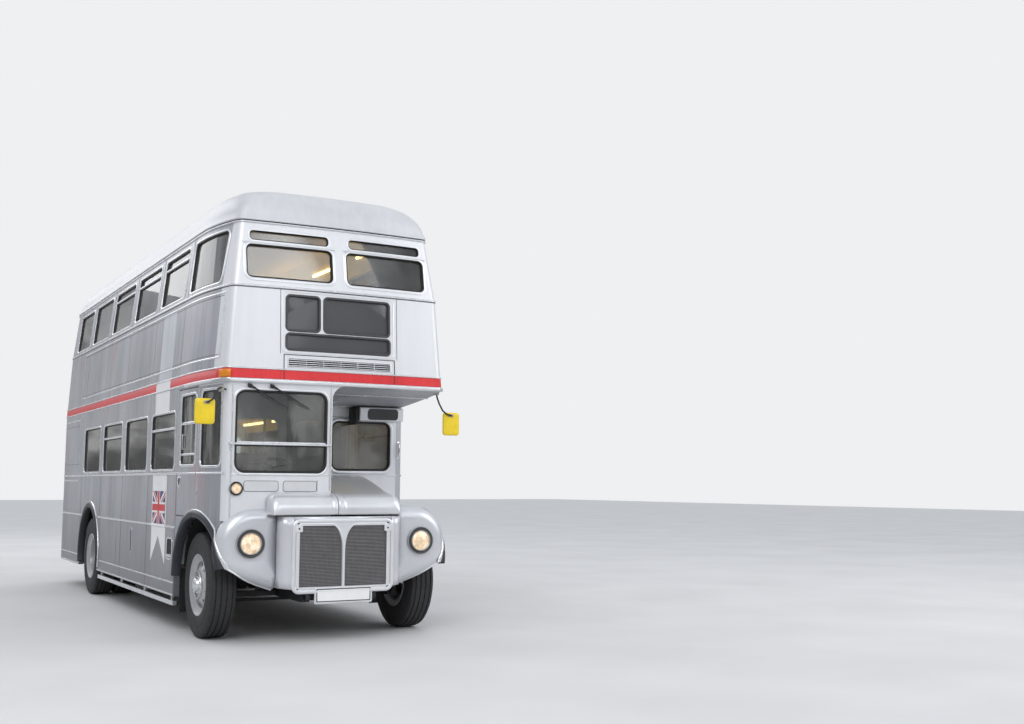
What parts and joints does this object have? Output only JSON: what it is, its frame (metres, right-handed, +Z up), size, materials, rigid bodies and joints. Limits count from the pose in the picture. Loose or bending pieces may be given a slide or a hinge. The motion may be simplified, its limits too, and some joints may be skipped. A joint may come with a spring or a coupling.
{
  "type": "double decker bus",
  "caption": "Half-cab double decker bus with a front engine under a hinged bonnet, an open rear platform with stairs, and silver panels.",
  "frame": {"origin": "on the ground under the middle of the bus's outline, mirrors included", "axes": "+X to the nearside (kerb side), +Y to the rear so that the bus faces -Y, +Z up"},
  "size_m": [2.793, 8.38, 4.3799],
  "materials": {
    "silver_paint": "satin silver paint",
    "roof_paint": "matt pale grey paint",
    "interior_paint": "gloss maroon enamel",
    "floor": "ribbed wood",
    "glass": "clear glass",
    "blind": "blank dark grey",
    "chrome": "polished",
    "yellow_paint": "gloss yellow paint",
    "black_paint": "gloss black paint",
    "moquette": "checked wool cloth",
    "leathercloth": "padded leathercloth",
    "black_plastic": "gloss black",
    "rail": "white coated tube",
    "iron": "painted dark iron",
    "aluminium": "bare aluminium",
    "rubber": "matt black rubber",
    "tyre": "worn dark grey tread",
    "plate_white": "blank white enamel"
  },
  "bodies": {
    "bus_body": {"offside_lower_wall": "silver_paint", "nearside_lower_wall": "silver_paint", "rear_lower_wall": "silver_paint", "offside_upper_wall": "silver_paint", "nearside_upper_wall": "silver_paint", "upper_front": "silver_paint", "upper_rear": "silver_paint", "cab_front": "silver_paint", "cab_side": "silver_paint", "front_wings": "silver_paint", "front_cowl": "silver_paint", "nose_panel": "silver_paint", "roof": "roof_paint", "bulkheads": "interior_paint", "cab_floor": "interior_paint", "staircase": "interior_paint", "lower_floor": "floor", "upper_floor": "floor", "rear_platform": "floor", "saloon_glass": "glass", "cab_glass": "glass", "destination_boxes": "blind", "lamps": "chrome", "mirrors": "yellow_paint", "wipers": "black_paint", "steering_column": "black_paint", "fuel_tank": "black_paint", "lower_seats": "moquette", "upper_seats": "moquette", "driver_seat": "leathercloth", "handrails": "rail", "subframes": "iron", "rear_axle": "iron", "engine": "iron", "guard_rails": "aluminium", "grille": "aluminium", "mudflaps": "rubber", "number_plate": "plate_white"},
    "offside_steer": {"offside_knuckle": "iron"},
    "nearside_steer": {"nearside_knuckle": "iron"},
    "offside_front_wheel": {"offside_front_tyre": "tyre", "offside_front_rim": "silver_paint"},
    "nearside_front_wheel": {"nearside_front_tyre": "tyre", "nearside_front_rim": "silver_paint"},
    "offside_rear_wheels": {"offside_rear_tyres": "tyre", "offside_rear_rims": "silver_paint"},
    "nearside_rear_wheels": {"nearside_rear_tyres": "tyre", "nearside_rear_rims": "silver_paint"},
    "track_rod_body": {"track_rod": "iron"},
    "steering_wheel_body": {"steering_wheel": "black_plastic"},
    "bonnet_body": {"bonnet": "silver_paint"},
    "cab_door_body": {"cab_door": "silver_paint", "cab_door_glass": "glass"},
    "emergency_window_body": {"emergency_window": "silver_paint", "emergency_glass": "glass"}
  },
  "joints": [
    {"name": "offside_steering", "type": "hinge", "parent": "bus_body", "child": "offside_steer", "pos_m": [-0.848, -3.32, 0.5], "axis": [0, 0, 1], "range_deg": [-28, 28]},
    {"name": "nearside_steering", "type": "hinge", "parent": "bus_body", "child": "nearside_steer", "pos_m": [0.848, -3.32, 0.5], "axis": [0, 0, 1], "range_deg": [-28, 28]},
    {"name": "track_rod_pivot", "type": "hinge", "parent": "offside_steer", "child": "track_rod_body", "pos_m": [-0.848, -3.13, 0.32], "axis": [0, 0, 1], "range_deg": [-28, 28]},
    {"name": "steering_wheel_turn", "type": "hinge", "parent": "bus_body", "child": "steering_wheel_body", "pos_m": [-0.56, -3.605, 1.59], "axis": [0, 0.3526, 0.9358], "range_deg": [-504, 504]},
    {"name": "offside_front_wheel_spin", "type": "hinge", "parent": "offside_steer", "child": "offside_front_wheel", "pos_m": [-1.012, -3.32, 0.5], "axis": [1, 0, 0], "continuous": true},
    {"name": "nearside_front_wheel_spin", "type": "hinge", "parent": "nearside_steer", "child": "nearside_front_wheel", "pos_m": [1.012, -3.32, 0.5], "axis": [1, 0, 0], "continuous": true},
    {"name": "offside_rear_wheel_spin", "type": "hinge", "parent": "bus_body", "child": "offside_rear_wheels", "pos_m": [-0.93, 1.811, 0.5], "axis": [1, 0, 0], "continuous": true},
    {"name": "nearside_rear_wheel_spin", "type": "hinge", "parent": "bus_body", "child": "nearside_rear_wheels", "pos_m": [0.93, 1.811, 0.5], "axis": [1, 0, 0], "continuous": true},
    {"name": "bonnet_hinge", "type": "hinge", "parent": "bus_body", "child": "bonnet_body", "pos_m": [0.3, -2.77, 1.545], "axis": [-1, 0, 0], "range_deg": [0, 40]},
    {"name": "cab_door_hinge", "type": "hinge", "parent": "bus_body", "child": "cab_door_body", "pos_m": [-1.2, -3.414, 1.75], "axis": [0, 0, 1], "range_deg": [0, 75]},
    {"name": "emergency_window_hinge", "type": "hinge", "parent": "bus_body", "child": "emergency_window_body", "pos_m": [0, 4.1065, 3.877], "axis": [1, 0, 0], "range_deg": [0, 70]}
  ],
  "couplings": [
    {"joint": "nearside_steering", "follows": "offside_steering", "ratio": 1},
    {"joint": "track_rod_pivot", "follows": "offside_steering", "ratio": -1},
    {"joint": "steering_wheel_turn", "follows": "offside_steering", "ratio": 18}
  ]
}
